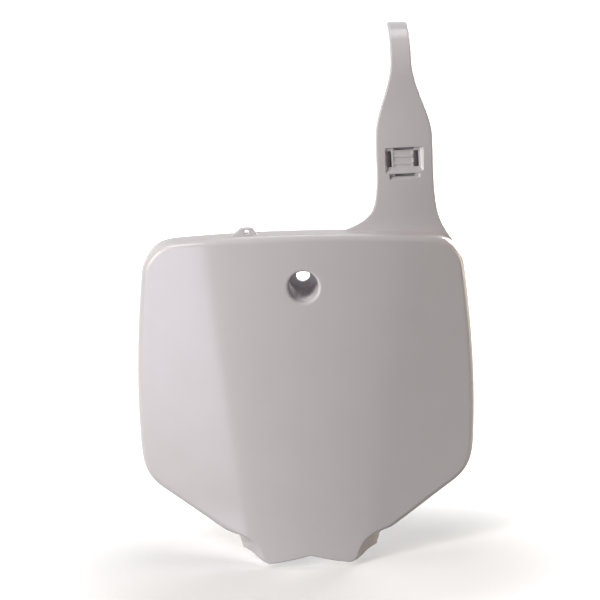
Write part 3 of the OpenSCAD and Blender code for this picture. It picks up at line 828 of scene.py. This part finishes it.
def barRow(name, values, **rest):
    return barRowObject(name, Count=values["count"], Sides=values["sides"], Radius=values["radius"] * mm,
                        Length=values["length"] * mm, Material=whitePlastic, **rest)


bridgeRibs = barRow(
    "bridgeRibs", ribs, Step=metres(upStrap * ribs["pitch"]), Arm=(0.0, 0.0, 0.0), First=0.0, Turn=0.0,
    Start=metres(onBuckle(buckle["windowShift"], buckle["recessDepth"] + ribs["sunk"], ribs["first"])[0]))
innerR = strap["bendRadius"] - strap["thickness"]
tongueTeeth = barRow(
    "tongueTeeth", teeth, Step=(0.0, 0.0, 0.0), Arm=metres([0, 0, innerR + teeth["sunk"]]),
    First=math.radians(teeth["first"]), Turn=teeth["pitch"] / innerR,
    Start=metres([strap["x"] - strap["tongueShift"] - strap["tipShift"], bendY + strap["bendRadius"],
                  strap["bendHeight"]]))
print("ribs and teeth ready")

for part in (bridgeRibs, tongueTeeth):
    cutOrJoin(barStrap, part, "UNION")
for part in (barStrap, barEyelet):
    cutOrJoin(moulding, part, "UNION")
moulding.data.materials.clear()
moulding.data.materials.append(whitePlastic)
moulding.data.polygons.foreach_set("use_smooth", [True] * len(moulding.data.polygons))
moulding.data.set_sharp_from_angle(angle=math.radians(board["sharpAngle"]))
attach(moulding, "root")
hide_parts("number_board")
print("one moulding,", len(moulding.data.polygons), "faces")

# floor, light and camera
stage = {
    "floor": -0.1832,
    "floorSize": 14.0,
    "floorColour": "#F9F9FA",
    "floorBounce": "#595959",
    "glow": (0.08, 1.0),  # painted light: a floor glow seen only by the camera, weak where the board's shadow lies and strong round it, painting out the lamps' shadows there
    "glowCentre": (0.0, -0.07, -0.1832),
    "glowReach": (0.34, 0.14, 1.0),  # the oval outside which the painted glow turns the floor white, painting out the lamps' shadows
    "glowStart": 0.35,
    "worldFill": 0.03,
}
lampAim = (0.0, -0.02, -0.02)
lampDistance = 1.6
lamps = [
    {"name": "leftKey", "azimuth": -58, "elevation": 20, "side": 0.6, "watts": 13.6, "tint": "#FFF8E4"},
    {"name": "leftHigh", "azimuth": -64, "elevation": 50, "side": 0.4, "watts": 7.2, "tint": "#F8F6FF"},
    {"name": "frontLow", "azimuth": -40, "elevation": 4, "side": 0.7, "watts": 8.0, "tint": "#ECEEFF"},
    {"name": "rightLow", "azimuth": 95, "elevation": 4, "side": 0.7, "watts": 13.5, "tint": "#FFEFD8"},
    {"name": "topBehind", "azimuth": 180, "elevation": 69, "side": 0.7, "watts": 6.0, "tint": "#FFFFFF"},
    {"name": "back", "azimuth": 140, "elevation": 14, "side": 0.7, "watts": 17.0, "tint": "#FFFFFF"},
]
view = {
    "pivot": (0.0, -0.027, 0.0),
    "distance": 1.0,
    "elevation": 20.0,
    "roll": 1.5,
    "sensor": 36.0,
    "mmPerPixel": 0.655,
    "pivotPixel": (303.4, 287.5),
    "pixels": 600,
}
scene = bpy.context.scene


def seenDirectly(tree):
    # 1 for rays from the camera, and for mirrored and transmitted ones
    light = addNode(tree, "ShaderNodeLightPath").outputs
    pair = addNode(tree, "ShaderNodeMath", {0: light["Is Camera Ray"], 1: light["Is Glossy Ray"]},
                   operation="MAXIMUM")
    return addNode(tree, "ShaderNodeMath", {0: pair.outputs[0], 1: light["Is Transmission Ray"]},
                   operation="MAXIMUM").outputs[0]


def buildWorld():
    # white to look at, and a weaker even fill as light
    world = bpy.data.worlds.new("studio")
    scene.world = world
    world.use_nodes = True
    tree = world.node_tree
    tree.nodes.clear()
    fill = addNode(tree, "ShaderNodeBackground", Strength=stage["worldFill"])
    white = addNode(tree, "ShaderNodeBackground", Strength=1.0)
    for node in (fill, white):
        node.inputs["Color"].default_value = (1, 1, 1, 1)
    both = addNode(tree, "ShaderNodeMixShader", {0: seenDirectly(tree), 1: fill.outputs[0],
                                                 2: white.outputs[0]})
    addNode(tree, "ShaderNodeOutputWorld", {"Surface": both.outputs[0]})


def buildFloor():
    # a pale floor that throws little light back up; to the camera it also carries a painted glow, weak in an
    # oval round the board so the shadow under the nose shows, white outside it so the lamps' shadows there
    # are painted out
    half = stage["floorSize"] / 2 / mm
    level = stage["floor"] / mm
    floor = meshObject("floor", [(-half, -half, level), (half, -half, level), (half, half, level),
                                 (-half, half, level)], [(0, 1, 2, 3)])
    paper = bpy.data.materials.new("palePaperPaintedGlow")
    paper.use_nodes = True
    tree = paper.node_tree
    tree.nodes.clear()
    place = addNode(tree, "ShaderNodeTexCoord").outputs["Object"]
    oval = addNode(tree, "ShaderNodeMapping", {"Vector": place}, vector_type="TEXTURE",
                   Location=stage["glowCentre"], Scale=stage["glowReach"])
    away = addNode(tree, "ShaderNodeVectorMath", {0: oval.outputs[0]}, operation="LENGTH")
    glow = addNode(tree, "ShaderNodeMapRange", {"Value": away.outputs["Value"]},
                   interpolation_type="SMOOTHSTEP", From_Min=stage["glowStart"],
                   From_Max=1.0, To_Min=stage["glow"][0], To_Max=stage["glow"][1])
    # painted light: an emission seen only by the camera, whitening the floor outside the oval over the
    # lamps' real shadows
    paintedGlow = addNode(tree, "ShaderNodeEmission", {"Strength": glow.outputs["Result"]}, Color=(1, 1, 1, 1))
    matt = addNode(tree, "ShaderNodeBsdfDiffuse", Color=srgb(stage["floorColour"]))
    seen = addNode(tree, "ShaderNodeAddShader", {0: matt.outputs[0], 1: paintedGlow.outputs[0]})
    bounce = addNode(tree, "ShaderNodeBsdfDiffuse", Color=srgb(stage["floorBounce"]))
    both = addNode(tree, "ShaderNodeMixShader", {0: seenDirectly(tree), 1: bounce.outputs[0],
                                                 2: seen.outputs[0]})
    addNode(tree, "ShaderNodeOutputMaterial", {"Surface": both.outputs[0]})
    floor.data.materials.append(paper)


def buildLight(values):
    azimuth, elevation = math.radians(values["azimuth"]), math.radians(values["elevation"])
    away = Vector((math.sin(azimuth) * math.cos(elevation), -math.cos(azimuth) * math.cos(elevation),
                   math.sin(elevation)))
    lamp = bpy.data.lights.new(values["name"], "AREA")
    lamp.size = values["side"]
    lamp.energy = values["watts"]
    lamp.color = srgb(values["tint"])[:3]
    holder = bpy.data.objects.new(values["name"], lamp)
    holder.location = Vector(lampAim) + away * lampDistance
    holder.rotation_euler = away.to_track_quat("Z", "Y").to_euler()
    holder.visible_camera = False
    scene.collection.objects.link(holder)


def buildCamera():
    e, r = math.radians(view["elevation"]), math.radians(view["roll"])
    back = Vector((0, -math.cos(e), math.sin(e)))
    level = Vector((1, 0, 0))
    upright = back.cross(level)
    right = level * math.cos(r) - upright * math.sin(r)
    up = upright * math.cos(r) + level * math.sin(r)
    lens = bpy.data.cameras.new("camera")
    lens.sensor_width = view["sensor"]
    lens.lens = view["sensor"] * view["distance"] / (view["mmPerPixel"] * view["pixels"] * mm)
    half = view["pixels"] / 2
    lens.shift_x = (half - view["pivotPixel"][0]) / view["pixels"]
    lens.shift_y = (view["pivotPixel"][1] - half) / view["pixels"]
    camera = bpy.data.objects.new("camera", lens)
    turn = Matrix((right, up, back)).transposed().to_4x4()
    camera.matrix_world = Matrix.Translation(Vector(view["pivot"]) + back * view["distance"]) @ turn
    scene.collection.objects.link(camera)
    scene.camera = camera


buildWorld()
buildFloor()
for lamp in lamps:
    buildLight(lamp)
buildCamera()
scene.view_settings.view_transform = "Standard"
print("stage ready")
